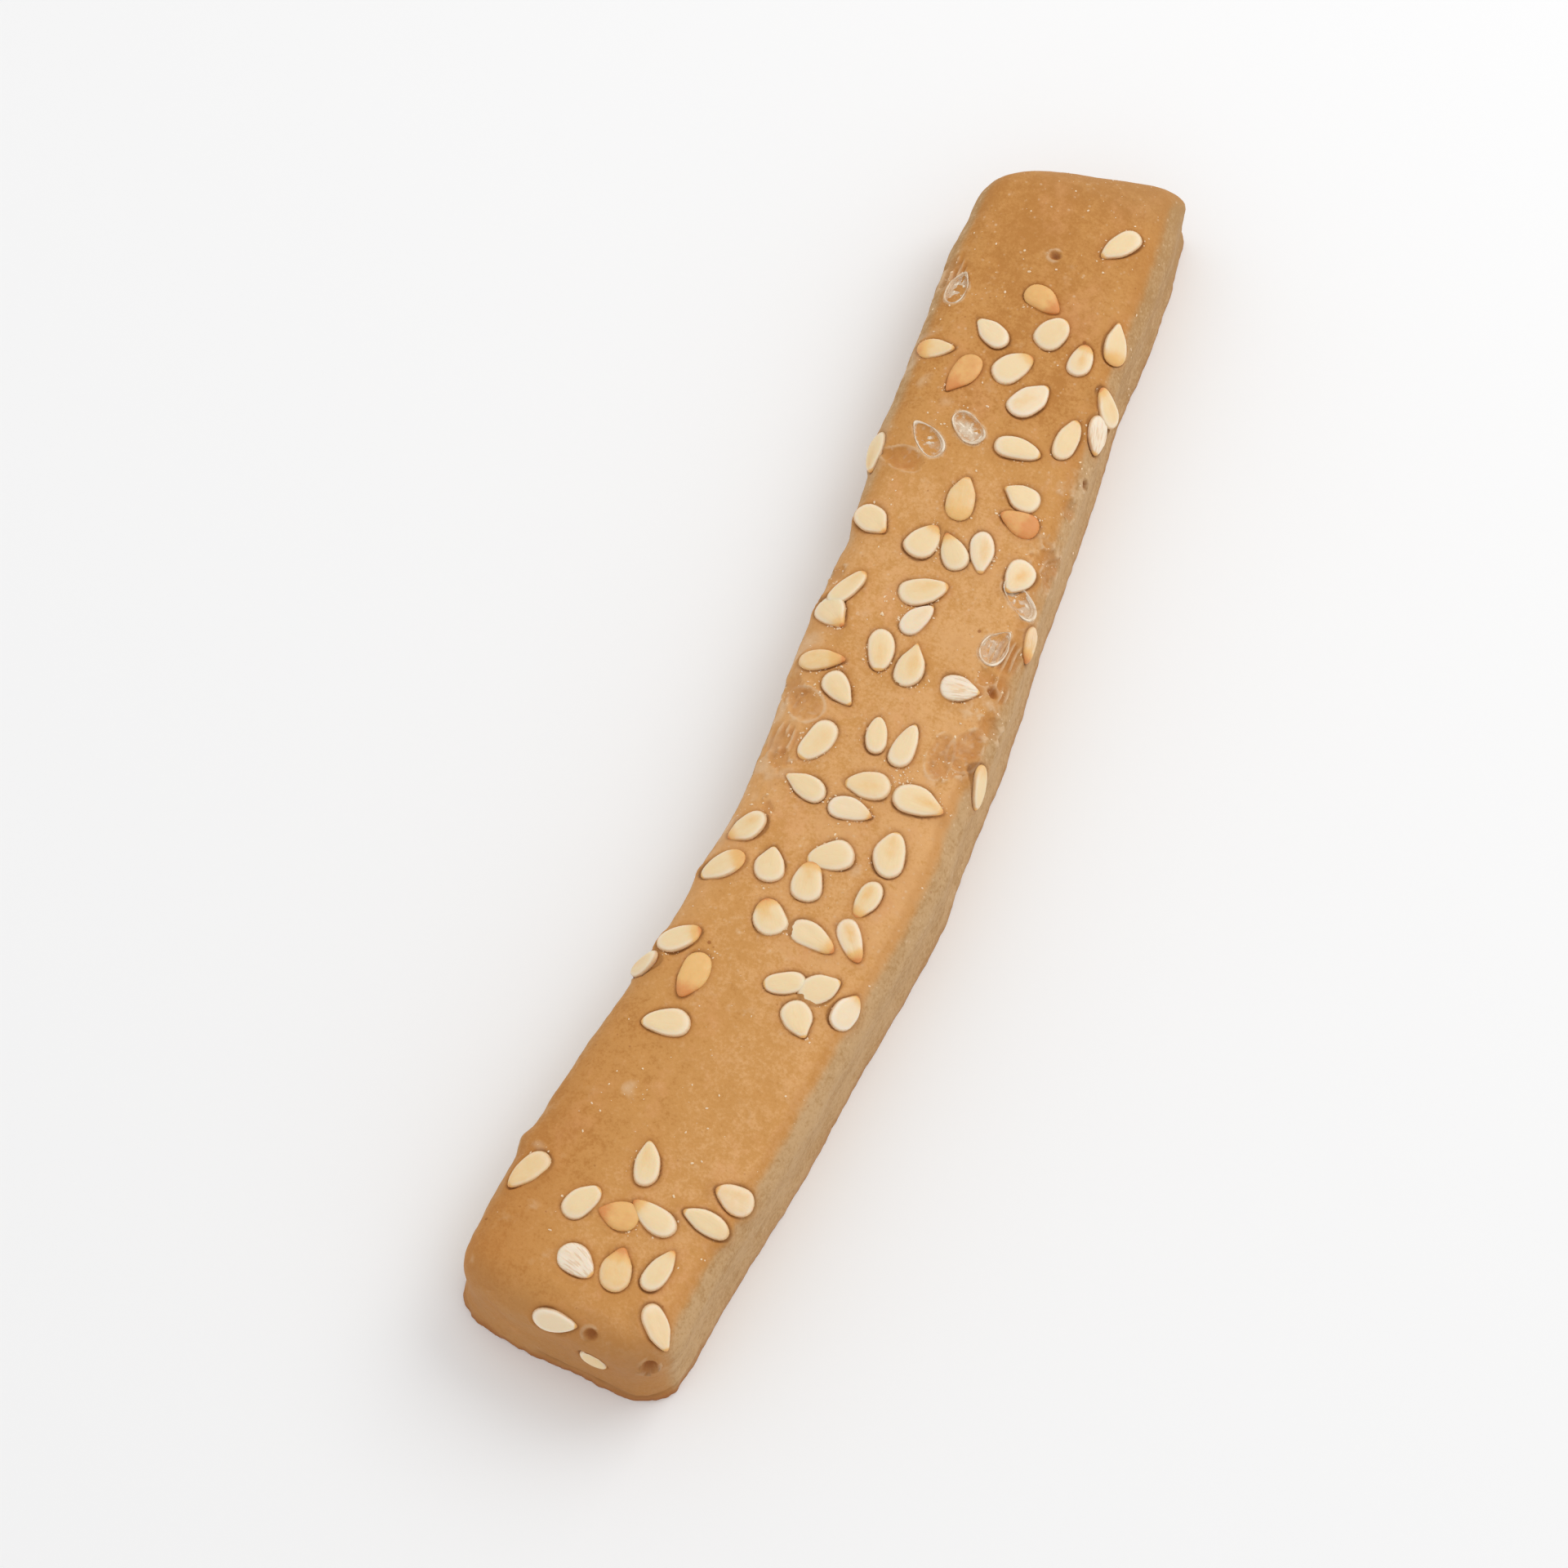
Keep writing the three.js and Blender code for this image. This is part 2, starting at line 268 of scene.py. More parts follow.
class BreadstickColours(PropertyGroup):
    """Colours as they look in soft daylight."""

    crust: colour("Crust", "Golden top", 206, 149, 84)
    crust_dark: colour("Browned crust", "Darker patches of the top", 188, 128, 64)
    crust_pale: colour("Pale crust", "Lighter patches of the top", 225, 172, 114)
    # painted shade too: the near left and the near end are darker partly because they turn from the
    # light
    crust_brown: colour("Baked end", "Deeper brown towards the near left end", 186, 120, 57)
    crust_rosy: colour("Rosy crust", "Pinkish bloom in patches", 222, 160, 108)
    # also the painted highlights on the rims of pits, prints and bubbles
    dust: colour("Dust", "Floury film on the crust", 228, 196, 158)
    wall: colour("Wall", "Greyer long walls", 200, 164, 120)
    # also painted shade on the faces turned to the near end
    wall_dark: colour("Dark wall", "Grain of the walls", 178, 138, 90)
    lip: colour("Lip", "Browned edge of the base", 164, 104, 54)
    base: colour("Base", "Browned underside", 168, 110, 58)
    base_pale: colour("Pale base", "Floury patches of the underside", 198, 150, 100)
    # painted shade inside the pits, and the colour of the dark pores
    pit: colour("Pit", "Inside of pits", 150, 84, 38)
    seed: colour("Seed", "Plain sesame seed", 241, 214, 168)
    # also the painted glints on the seed skins
    seed_white: colour("White seed", "Palest seeds and their rims", 246, 229, 206)
    seed_gold: colour("Golden seed", "Heart of the seeds", 236, 188, 118)
    seed_toast: colour("Toasted seed", "Browned seeds and tips", 218, 138, 74)
    # partly painted shade on the seeds' rounded sides
    seed_edge: colour("Seed edge", "Thin browner edge of the seeds", 206, 156, 98)
    skin: colour("Skin", "Glassy seed skin", 248, 226, 190)
    speck: colour("Speck", "Flour", 240, 212, 184)
    # painted shade: the dark line in the crevices beside the seeds and along the near end's crease
    crevice: colour("Crevice", "Dark line beside the seeds", 122, 76, 38)
    floor: colour("Floor", "Plain pale floor", 250, 250, 250)


# The camera's place comes from the same fit.
class BreadstickStage(PropertyGroup):
    """The camera and the light."""

    turn: angle("Turn", "Camera round the stick", 24.2)
    rise: angle("Rise", "Camera above the floor", 63.9)
    roll: angle("Roll", "Camera round its own line of sight", -0.3)
    distance: length("Distance", "Camera to the point it looks at", 297.8)
    lens: FloatProperty(name="Lens", description="Focal length for a 36 mm sensor", default=94.13)
    target: place("Target", "Point the camera looks at", -4.519, -4.463, 0)
    key_power: share("Key power", "Watts of the lamp", 0.8)
    key_size: length("Key size", "Side of the square lamp", 350)
    key_place: place("Key place", "Where the lamp hangs", 170, 330, 380)
    fill: share("Fill", "Brightness of the even light from all round", 0.8)


# ---- random draws and the sowing, the same as in the part's solid ----


MULTIPLIER = 16807
MODULUS = 2147483647


class Draw:
    """Minimal standard generator, numbers from 0 to 1."""

    def __init__(self, start):
        self.state = start

    def __call__(self):
        self.state = self.state * MULTIPLIER % MODULUS
        return self.state / MODULUS

    def between(self, low, high):
        """A number from low to high."""
        return low + (high - low) * self()

    def skipped(self, count):
        """The same generator after some draws, because the first few are alike."""
        for _ in range(count):
            self()
        return self


class Sown:
    """One seed, print or pit on the top, by its place across and along the stick."""

    def __init__(self, across, along, gap):
        self.across, self.along, self.gap = across, along, gap
        self.kind, self.turn, self.long, self.wide = "", 0.0, 0.0, 0.0


def sow(sizes, seeds):
    """Every seed, print and pit in the chart, each near the middle of its cell."""
    draw = Draw(SOWING_START).skipped(SOWING_SKIPPED)
    sown = []
    for i, row in enumerate(SOWING):
        cells = row.split()
        for j, cell in enumerate(cells):
            if cell == ".":
                continue
            best = None
            for _ in range(SOWING_TRIES):
                along = 1 - (i + 0.5 + (draw() - 0.5) * SOWING_SPREAD) * 2 / len(SOWING)
                step = (j + 0.5 + (draw() - 0.5) * SOWING_SPREAD) * 2 / len(cells) - 1
                across = min(max(step * SOWING_REACH, -SOWING_EDGE), SOWING_EDGE)
                gap = seeds.length * 3
                for other in sown:
                    dx = (across - other.across) * sizes.width / 2
                    dy = (along - other.along) * sizes.length / 2
                    gap = min(gap, math.hypot(dx, dy))
                if best is None or gap > best.gap:
                    best = Sown(across, along, gap)
            best.kind = cell[-1]
            best.turn = AIM[cell[0]] + (draw() - 0.5) * AIM_SPREAD
            best.long = seeds.length * (1 + (draw() - 0.5) * seeds.length_spread)
            best.wide = seeds.width * (1 + (draw() - 0.5) * seeds.width_spread)
            sown.append(best)
    return sown


# ---- the form of the stick, the same as in the part's solid ----


def crowd(value, amount):
    """Moves even steps from -1 to 1 towards the ends."""
    return (1 - amount) * value + amount * math.sin(math.pi * value / 2)


def smooth(value):
    """A soft step from 0 to 1."""
    value = min(max(value, 0), 1)
    return value * value * (3 - 2 * value)


def quarter(distance, radius):
    """0 at an edge, 1 from the radius on, along a quarter circle."""
    missing = max(0.0, 1 - distance / radius)
    return math.sqrt(max(0.0, 1 - missing * missing))


STEP = 0.02
STEP_ALONG = 0.004


class Stick:
    """The form of the baked stick, from its sizes."""

    def __init__(self, sizes):
        for name in sizes.bl_rna.properties.keys():
            if name not in ("rna_type", "name"):
                setattr(self, name, getattr(sizes, name))
        self.slope = math.tan(self.bend_angle / 2)
        self.corners = {
            (False, False): self.near_left,
            (False, True): self.near_right,
            (True, False): self.far_left,
            (True, True): self.far_right,
        }

    def middle(self, y):
        """Sideways place of the middle line."""
        away = y - self.bend_at
        return -self.slope * (math.sqrt(away * away + self.bend_ease**2) - self.bend_ease)

    def half_width(self, along):
        """Half the width at a place along the stick."""
        near = max(-along, 0)
        return self.width / 2 * (1 + self.near_wider * near * near)

    def stand(self, z):
        """How far the wall stands out at a height."""
        lip = self.foot * math.exp(-(((z - self.foot_height) / self.foot_soft) ** 2))
        return lip - self.hollow * math.sin(math.pi * min(z / (self.height * 0.8), 1))

    def point(self, across, along, level):
        """A point of the body, across and along from -1 to 1, level from 0 at the base to 1."""
        w = self.half_width(along)
        from_end = self.length / 2 * (1 - abs(along))
        from_side = w * (1 - abs(across))
        corner = self.corners[(along >= 0, across >= 0)]
        squeeze = 1 - corner / w * (1 - quarter(from_end, corner))
        end_fall = 1 - self.end_drop / self.height * (1 - quarter(from_end, self.end_round))
        side_fall = 1 - self.shoulder_drop / self.height * (1 - quarter(from_side, self.shoulder))
        y = self.length / 2 * along
        x = w * across * squeeze
        dome = self.dome * (1 - across * across) * end_fall
        far = y / MM
        ripple = math.sin(far / 6.1 + 0.7) + math.sin(far / 3.7 + across * 2.1 + 2.2)
        top = (self.height - self.dome + dome) * end_fall * side_fall + self.wave * ripple * 0.5 * level
        z = top * level
        out = self.stand(z)
        sway = math.sin(far / 5.3 + (1.9 if across < 0 else 0.4)) + math.sin(far / 2.9)
        body_x = x + across * (out + self.wave * sway * 0.6 * abs(across))
        body_y = y + along * out
        slant = self.near_slant if along < 0 else self.far_slant
        body_y += slant * smooth((abs(along) - 0.5) / 0.5) * body_x
        return Vector((body_x + self.middle(body_y) + self.shift_x, body_y + self.shift_y, z))

    def frame_at(self, place, along_step, level_step, turn):
        """A matrix standing on the surface, z outwards, x turned from the across direction."""
        across, along, level = place
        point = self.point(*place)
        u = (self.point(across + STEP, along, level) - point).normalized()
        n = u.cross(self.point(across, along + along_step, level + level_step) - point).normalized()
        v = n.cross(u)
        angle = math.radians(turn)
        x = u * math.cos(angle) + v * math.sin(angle)
        matrix = Matrix((x, n.cross(x), n)).transposed().to_4x4()
        matrix.translation = point
        return matrix

    def frame_on_top(self, across, along, turn):
        """The same on the top."""
        return self.frame_at((across, along, 1), STEP_ALONG, 0, turn)

    def frame_on_end(self, across, level, turn):
        """The same on the near end."""
        return self.frame_at((across, -1, level), 0, STEP, turn)


# ---- shader maths ----


class Number:
    """A number on a socket. Arithmetic on it adds Math nodes."""

    def __init__(self, recipe, socket):
        self.recipe, self.socket = recipe, socket

    def math(self, operation, *values):
        """What a Math node makes of the values."""
        node = self.recipe.add("ShaderNodeMath", {"operation": operation}, dict(enumerate(values)))
        return Number(self.recipe, node.outputs[0])

    def __add__(self, other):
        return self.math("ADD", self, other)

    def __sub__(self, other):
        return self.math("SUBTRACT", self, other)

    def __rsub__(self, other):
        return self.math("SUBTRACT", other, self)

    def __mul__(self, other):
        return self.math("MULTIPLY", self, other)

    __radd__ = __add__
    __rmul__ = __mul__

    def held(self):
        """Kept between 0 and 1."""
        return self.math("MINIMUM", self, 1.0).math("MAXIMUM", self.socket, 0.0)

    def step(self, low, high):
        """0 below low and 1 above high, soft between; turned round where low is above high."""
        if low > high:
            return 1 - self.step(high, low)
        inputs = {"Value": self, "From Min": low, "From Max": high}
        node = self.recipe.add("ShaderNodeMapRange", {"interpolation_type": "SMOOTHSTEP"}, inputs)
        return Number(self.recipe, node.outputs["Result"])


class Recipe:
    """A material and the nodes that paint it."""

    def __init__(self, name):
        self.material = bpy.data.materials.new(name)
        self.material.use_nodes = True
        self.tree = self.material.node_tree
        self.tree.nodes.clear()
        self.where = self.add("ShaderNodeTexCoord").outputs["Object"]

    def add(self, kind, settings=None, inputs=None):
        """A node of a type, with its settings and then its sockets' values or links."""
        node = self.tree.nodes.new(kind)
        for key, value in (settings or {}).items():
            setattr(node, key, value)
        for key, value in (inputs or {}).items():
            value = getattr(value, "socket", value)
            if isinstance(value, bpy.types.NodeSocket):
                self.tree.links.new(value, node.inputs[key])
            elif value is not None:
                node.inputs[key].default_value = value
        return node

    def noise(self, size, detail=2.0, roughness=0.5, where=None):
        """Cloudy noise from 0 to 1 whose blobs have about this size, in mm."""
        inputs = {"Vector": where or self.where, "Scale": 1 / (size * MM)}
        inputs.update({"Detail": detail, "Roughness": roughness})
        return Number(self, self.add("ShaderNodeTexNoise", None, inputs).outputs[0])

    def spots(self, size):
        """Distance from scattered points, in cells of this many mm."""
        inputs = {"Vector": self.where, "Scale": 1 / (size * MM)}
        return Number(self, self.add("ShaderNodeTexVoronoi", None, inputs).outputs["Distance"])

    def stretched(self, x, y, z):
        """The object coordinates scaled along each axis."""
        inputs = {0: self.where, 1: (x, y, z)}
        return self.add("ShaderNodeVectorMath", {"operation": "MULTIPLY"}, inputs).outputs[0]

    def part(self, axis):
        """X, Y or Z of the object coordinates, in mm."""
        parts = self.add("ShaderNodeSeparateXYZ", None, {0: self.where}).outputs
        return Number(self, parts[axis]) * (1 / MM)

    def painted(self, name):
        """A number stored on the mesh."""
        return Number(self, self.add("ShaderNodeAttribute", {"attribute_name": name}).outputs["Fac"])

    def mix(self, low, high, factor):
        """Two colours mixed by a number."""
        settings = {"data_type": "RGBA", "clamp_factor": True}
        return self.add("ShaderNodeMix", settings, {0: factor, 6: low, 7: high}).outputs[2]

    def coats(self, base, *coats):
        """A colour with others laid over it, each a colour and how far it covers."""
        for over, factor in coats:
            base = self.mix(base, over, factor)
        return base

    def bump(self, height, distance, below=None):
        """A normal bent by a height of so many mm, over another normal."""
        inputs = {"Height": height, "Distance": distance * MM, "Strength": 1.0, "Normal": below}
        return self.add("ShaderNodeBump", None, inputs).outputs[0]

    def finish(self, **inputs):
        """The shader, its sockets by name, and the output."""
        inputs = {name.replace("_", " "): value for name, value in inputs.items()}
        shader = self.add("ShaderNodeBsdfPrincipled", None, inputs)
        self.add("ShaderNodeOutputMaterial", None, {"Surface": shader.outputs[0]})
        return self.material


def paint_crust(colours):
    """Golden top, greyer walls, browned lip and base."""
    r = Recipe("baked crust")
    broad = r.noise(13, 3, 0.55) - 0.5
    mid = r.noise(3.0, 4, 0.6) - 0.5
    fine = r.noise(0.85, 4, 0.65) - 0.5
    grain = r.noise(0.24, 3, 0.65) - 0.5
    streak = r.noise(1.4, 3, 0.6, r.stretched(1, 0.16, 1)) - 0.5
    mottle = mid + fine * 1.2 + grain * 1.3
    y, z = r.part(1), r.part(2)
    across, wall = r.painted("across"), r.painted("wall")
    # palest beyond the middle, deeper towards both ends, deepest at the near left
    calmer = 1 - y.step(28, 42) * 0.35
    palest = y.step(25, 10) * y.step(-38, 4) * 0.31
    nearer = y.step(-34, -20) * y.step(4, -6) * 0.18
    farther = y.step(32, 44) * 0.16 + y.step(16, 26) * 0.18
    # painted light and shade: the top lighter to the right and darker to the left, more so towards the
    # near end, as the light falls from the right
    slope = across * (0.08 + y.step(-12, -30) * 0.16)
    patch = broad * 0.8 + mottle * calmer + streak * 0.6 + 0.42 + palest + nearer - farther + slope
    # darker towards the near left and the near end: baked browning with painted shade where the stick
    # turns from the light; near_end also deepens the lip
    near_left = y.step(-24, -42) * across.step(-0.1, -0.9)
    near_end = y.step(-43, -50)
    rosy = (r.noise(4, 3, 0.6, r.stretched(1, 0.5, 1)) + fine * 0.6).step(0.5, 0.8)
    # browner along the shoulder, then grey down the wall
    side = wall + mid * 0.45 + fine * 0.3
    wall_grain = mottle + grain * 0.6 + streak + 0.5 - y.step(22, 44) * 0.35
    grey = r.mix(colours.wall_dark, colours.wall, wall_grain.step(-0.1, 0.8))
    left_edge = across.step(-0.55, -0.95) * y.step(-30, -14) * y.step(20, 2) * wall.step(0.9, 0.55)
    far_end = y.step(44, 50) * (0.4 + mid * 0.4)
    film = (r.painted("film") * (1.0 + fine * 1.1)).step(0.14, 0.8)
    dusty = r.noise(2.2, 3, 0.6).step(0.58, 0.78) * fine.step(-0.08, 0.12)
    # pale grains of flour baked into the crust, and dark little pores
    grains = r.spots(0.5).step(0.30, 0.12) * fine.step(-0.04, 0.16) * y.step(-36, -12)
    pricks = r.spots(1.1).step(0.10, 0.04) * mid.step(-0.08, 0.1)
    end = r.painted("end") * (0.6 + mid)
    lip = (z + mid * 0.5).step(1.1, 0.25) * (0.3 + near_end * 0.65)
    under = r.mix(colours.base, colours.base_pale, (mottle + 0.5).step(0.45, 0.9))
    base = r.coats(
        colours.crust_dark,
        (colours.crust, patch.step(-0.15, 0.42)),
        (colours.crust_pale, patch.step(0.42, 1.05) * 0.9),
        (colours.crust_rosy, rosy * 0.4),
        (colours.crust_brown, (near_left * 0.45 + near_end * 0.25) * (0.9 + mid)),
        (colours.crust_dark, side.step(0.0, 0.22) * (0.33 + across * 0.12)),
        (grey, side.step(0.25, 0.9) * 0.95),
        (colours.crust_pale, left_edge * (0.5 + fine * 0.5)),
        (colours.wall_dark, far_end),
        # flour film, with painted highlights on the rims of pits, prints and bubbles and painted glints
        # in prints
        (colours.dust, film * 0.54),
        (colours.dust, dusty * 0.3),
        (colours.dust, grains * 0.5),
        (colours.pit, pricks * 0.45),
        # painted shade: the faces turned to the near end darker, as they face away from the light; the
        # lip colour on them is the browned edge
        (colours.wall_dark, end * 0.45),
        (colours.lip, end * (0.2 + across.step(-0.6, 0.6) * 0.4)),
        (colours.lip, lip),
        # painted shade inside the pits
        (colours.pit, r.painted("pit") * 0.7),
        (colours.crust_brown, r.painted("print") * (fine * 1.6 + 0.5).held()),
        # painted shade in the crevices beside the seeds and in the crease
        (colours.crevice, r.painted("crevice") * (0.7 + fine * 0.4)),
        (colours.pit, r.spots(4.6).step(0.042, 0.018) * 0.7),
        (under, z.step(0.12, 0.02)),
    )
    roughness = 0.62 + fine * 0.24 + wall * 0.12 - film * 0.2
    low = r.bump(fine * 0.8 + mid * 1.2, 0.11)
    normal = r.bump((grain + 0.5) * (0.6 + wall * 0.6), 0.045, low)
    return r.finish(
        Base_Color=base, Roughness=roughness, Normal=normal, IOR=1.4, Specular_IOR_Level=0.22
    )


def paint_seeds(colours):
    """Ivory seeds with paler rims, a few with a golden heart or browned from the tip."""
    r = Recipe("sesame seed")
    tone, rim, toast = r.painted("tone"), r.painted("rim"), r.painted("toast")
    fine = r.noise(0.5, 3, 0.55) - 0.5
    # fine ribs from the blunt end to the point
    lengthwise = {0: r.painted("aside") * 5, 1: r.painted("ahead"), 2: tone * 9}
    ribs = r.add("ShaderNodeCombineXYZ", None, lengthwise).outputs[0]
    rib = Number(r, r.add("ShaderNodeTexNoise", None, {"Vector": ribs, "Scale": 1.6}).outputs[0])
    toast = toast * (1 + fine * 0.8)
    base = r.coats(
        colours.seed,
        (colours.seed_white, tone.step(0.5, 1.0) + rim.step(0.62, 0.92) * 0.55),
        (colours.seed_edge, tone.step(0.9, 1.0) * rib.step(0.48, 0.66) * 0.4),
        (colours.seed_gold, r.painted("heart") * (0.8 + fine * 0.8) + fine * 0.35 + (rib - 0.5) * 0.25),
        # the outermost edge browner: the seed's golden edge and painted shade on its rounded side
        (colours.seed_edge, rim.step(0.88, 1.0) * (0.7 + fine * 0.6)),
        (colours.seed_gold, toast.step(0.02, 0.4)),
        (colours.seed_toast, toast.step(0.3, 1.0) * 0.85),
    )
    normal = r.bump(fine, 0.02, r.bump(rib, 0.02))
    return r.finish(
        Base_Color=base,
        Roughness=0.46 + fine * 0.15,
        Normal=normal,
        IOR=1.42,
        Subsurface_Weight=0.12,
        Subsurface_Scale=0.5 * MM,
    )


def paint_skins(colours):
    """Thin glassy seed skins, clear in the middle, white along the rim, with painted glints as
    highlights.
    """
    r = Recipe("seed skin")
    fine = r.noise(0.3, 3, 0.6)
    film = r.painted("film")
    alpha = (film * (0.6 + fine * 0.8)).held()
    return r.finish(
        Base_Color=r.mix(colours.skin, colours.seed_white, film),
        Roughness=0.26 + fine * 0.2,
        Alpha=alpha,
        Normal=r.bump(fine, 0.03),
        Specular_IOR_Level=0.4,
    )


def paint_specks(colours):
    """Pale flour grains."""
    r = Recipe("flour speck")
    tone = r.noise(0.6, 1)
    return r.finish(Base_Color=r.mix(colours.speck, colours.seed, tone), Roughness=0.5 + tone * 0.1)


def paint_floor(colours):
    """Plain pale floor."""
    r = Recipe("pale floor")
    base = r.mix(colours.floor, FLOOR_SHADE, r.noise(200, 1))
    return r.finish(Base_Color=base, Roughness=0.9)


# ---- shapes ----


def add_object(name, data):
    """An object in the scene."""
    made = bpy.data.objects.new(name, data)
    bpy.context.scene.collection.objects.link(made)
    return made


def add_mesh(name, bm, material):
    """An object made of the mesh and its material."""
    mesh = bpy.data.meshes.new(name)
    bm.normal_update()
    bm.to_mesh(mesh)
    bm.free()
    mesh.materials.append(material)
    return add_object(name, mesh)


def add_piece(name, bm, material):
    """The same as a piece that rides with the stick."""
    piece = add_mesh(name, bm, material)
    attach(piece, BODY)
    return piece


def shade_smooth(bm):
    """Shades the faces made so far as one smooth surface."""
    for face in bm.faces:
        face.smooth = True


def add_layers(bm, *names):
    """Number layers on the mesh's points, for the material to read."""
    return [bm.verts.layers.float.new(name) for name in names]


CLOUD_SHIFT = Vector((3.1, 7.7, 1.3))


def bell(value, width):
    """1 at zero, fading to nothing a few widths away."""
    return math.exp(-((value / width) ** 2))


def ring(away, at, width):
    """1 where a point is this many mm away from an outline, fading over a width in mm."""
    return bell(away / MM - at, width)


def cloud(co, size):
    """Smooth noise from -1 to 1 whose blobs have about this size."""
    return noise.noise(co / size + CLOUD_SHIFT)


def folds(co, size):
    """Thin little ridges along the stick, this far apart, 0 to 1."""
    drift = cloud(Vector((co.x, co.y * 0.4, co.z)), 3 * size)
    lines = 0.5 + 0.5 * math.sin(math.tau * (co.x / size + 0.6 * drift))
    return lines**2 * smooth(0.9 + 1.2 * cloud(co, 2.5 * size))


def foam(co, size):
    """Burst bubbles: how near their thin walls and how deep in their bowls a point is, 0 to 1."""
    drift = Vector((cloud(co, size), cloud(co.yzx, size), 0)) * size * 0.35
    nearest, _ = noise.voronoi((co + drift) / size)
    return bell(nearest[1] - nearest[0], 0.15), max(0, 1 - nearest[0] * 1.7)


BLUNT = 0.11
MARK_DEEPEST = 1.6 * MM
MARK_LARGEST = 4
OUT_OF_REACH = (1, 2 * MARK_LARGEST, 0)


class Mark:
    """A seed, print or pit where it lies on the crust. Its outline runs from x -1 to its point at 1."""

    def __init__(self, kind, matrix, long, wide):
        self.kind, self.matrix, self.inverse = kind, matrix, matrix.inverted()
        self.long, self.wide = long, wide
        self.point, self.neck, self.bow, self.boxy = 0.1, 0, 0, 0

    def vary(self, draw, seeds):
        """Gives the outline its own point, neck, bow and squareness."""
        self.point = seeds.point * draw.between(0.35, 1.35)
        self.neck = seeds.neck * draw.between(0, 2)
        self.bow = draw.between(-0.12, 0.12)
        self.boxy = draw.between(0.02, 0.26)
        return self

    def half(self, x):
        """Half the outline's width at x."""
        narrowed = (1 - self.point * x - 0.25 * self.point * x * x) * (1 + self.boxy * x * x)
        return self.wide * 0.46 * narrowed * (1 - self.neck * smooth((x - 0.1) / 0.7))

    def bent(self, x):
        """How far the outline's middle line lies to the side at x."""
        return self.bow * self.wide / 2 * (x * x - 0.35)

    def spot(self, x, y, z, turned):
        """The place of a point over the outline, turned by a matrix before it is laid down."""
        blunted = x * (1 - BLUNT * smooth((x - 0.5) / 0.5))
        side = y * self.half(min(max(x, -1), 1)) + self.bent(x)
        return self.matrix @ turned @ Vector((blunted * self.long / 2, side, z))

    def reach(self, co):
        """How far a point is outside the outline, its place from 0 in the middle to 1, how far below."""
        at = self.inverse @ co
        if abs(at.z) > MARK_DEEPEST:
            return OUT_OF_REACH
        x = at.x / (self.long / 2)
        x *= 1 + BLUNT * smooth((x - 0.5) / 0.42)
        half = max(self.half(min(max(x, -1), 1)), 0.2 * self.wide)
        y = (at.y - self.bent(x)) / half
        place = math.hypot(x, y)
        slope = math.hypot(x / (self.long / 2), y / half) / max(place, 0.05)
        return (place - 1) / max(slope, 1), place, -at.z


def lay_marks(stick, seeds, sown):
    """Every seed, print and pit as a mark, the seed on the near end last."""
    draw = Draw(SOWING_START + 1).skipped(SKIPPED)
    marks = []
    for item in sown:
        matrix = stick.frame_on_top(item.across, item.along, item.turn)
        if item.kind == "p":
            # the pit at the near end is the widest
            wide = seeds.pit_radius * 2.9 * (1 - 0.45 * smooth((item.along + 0.95) / 0.2))
            marks.append(Mark("p", matrix, wide, wide * draw.between(0.7, 0.95)))
        else:
            long, wide = item.long * seeds.fuller, item.wide * seeds.fuller
            marks.append(Mark(item.kind, matrix, long, wide).vary(draw, seeds))
    for across, along, size in PRICKED:
        wide = seeds.pit_radius * size
        marks.append(Mark("p", stick.frame_on_top(across, along, 0), wide, wide * 0.8))
    matrix = stick.frame_on_end(END_SEED_ACROSS, END_SEED_LEVEL, END_SEED_TURN)
    matrix = matrix @ Matrix.Rotation(math.radians(END_SEED_TILT), 4, "X")
    matrix = matrix @ Matrix.Translation((0, 0, -END_SEED_SUNK))
    long, wide = seeds.length * END_SEED_LONG, seeds.width * END_SEED_WIDE
    marks.append(Mark("6", matrix, long, wide).vary(draw, seeds))
    return marks


# Round a point, marks are looked for this far away.
SEARCHED = 3.2 * MM
# How deep a print stays when its seed is lost, against the depth that was set.
PRINT_SHARE = 0.7
CREASE_FROM = -46 * MM
CREASE_FADES = 2 * MM
CREASE_HEIGHT = 0.9 * MM
# The dough's lumps: how high and how wide in mm, and how much higher on the walls.
LUMPS = ((0.10, 5.5, 0), (0.08, 2.1, 0), (0.032, 0.8, 0.016))


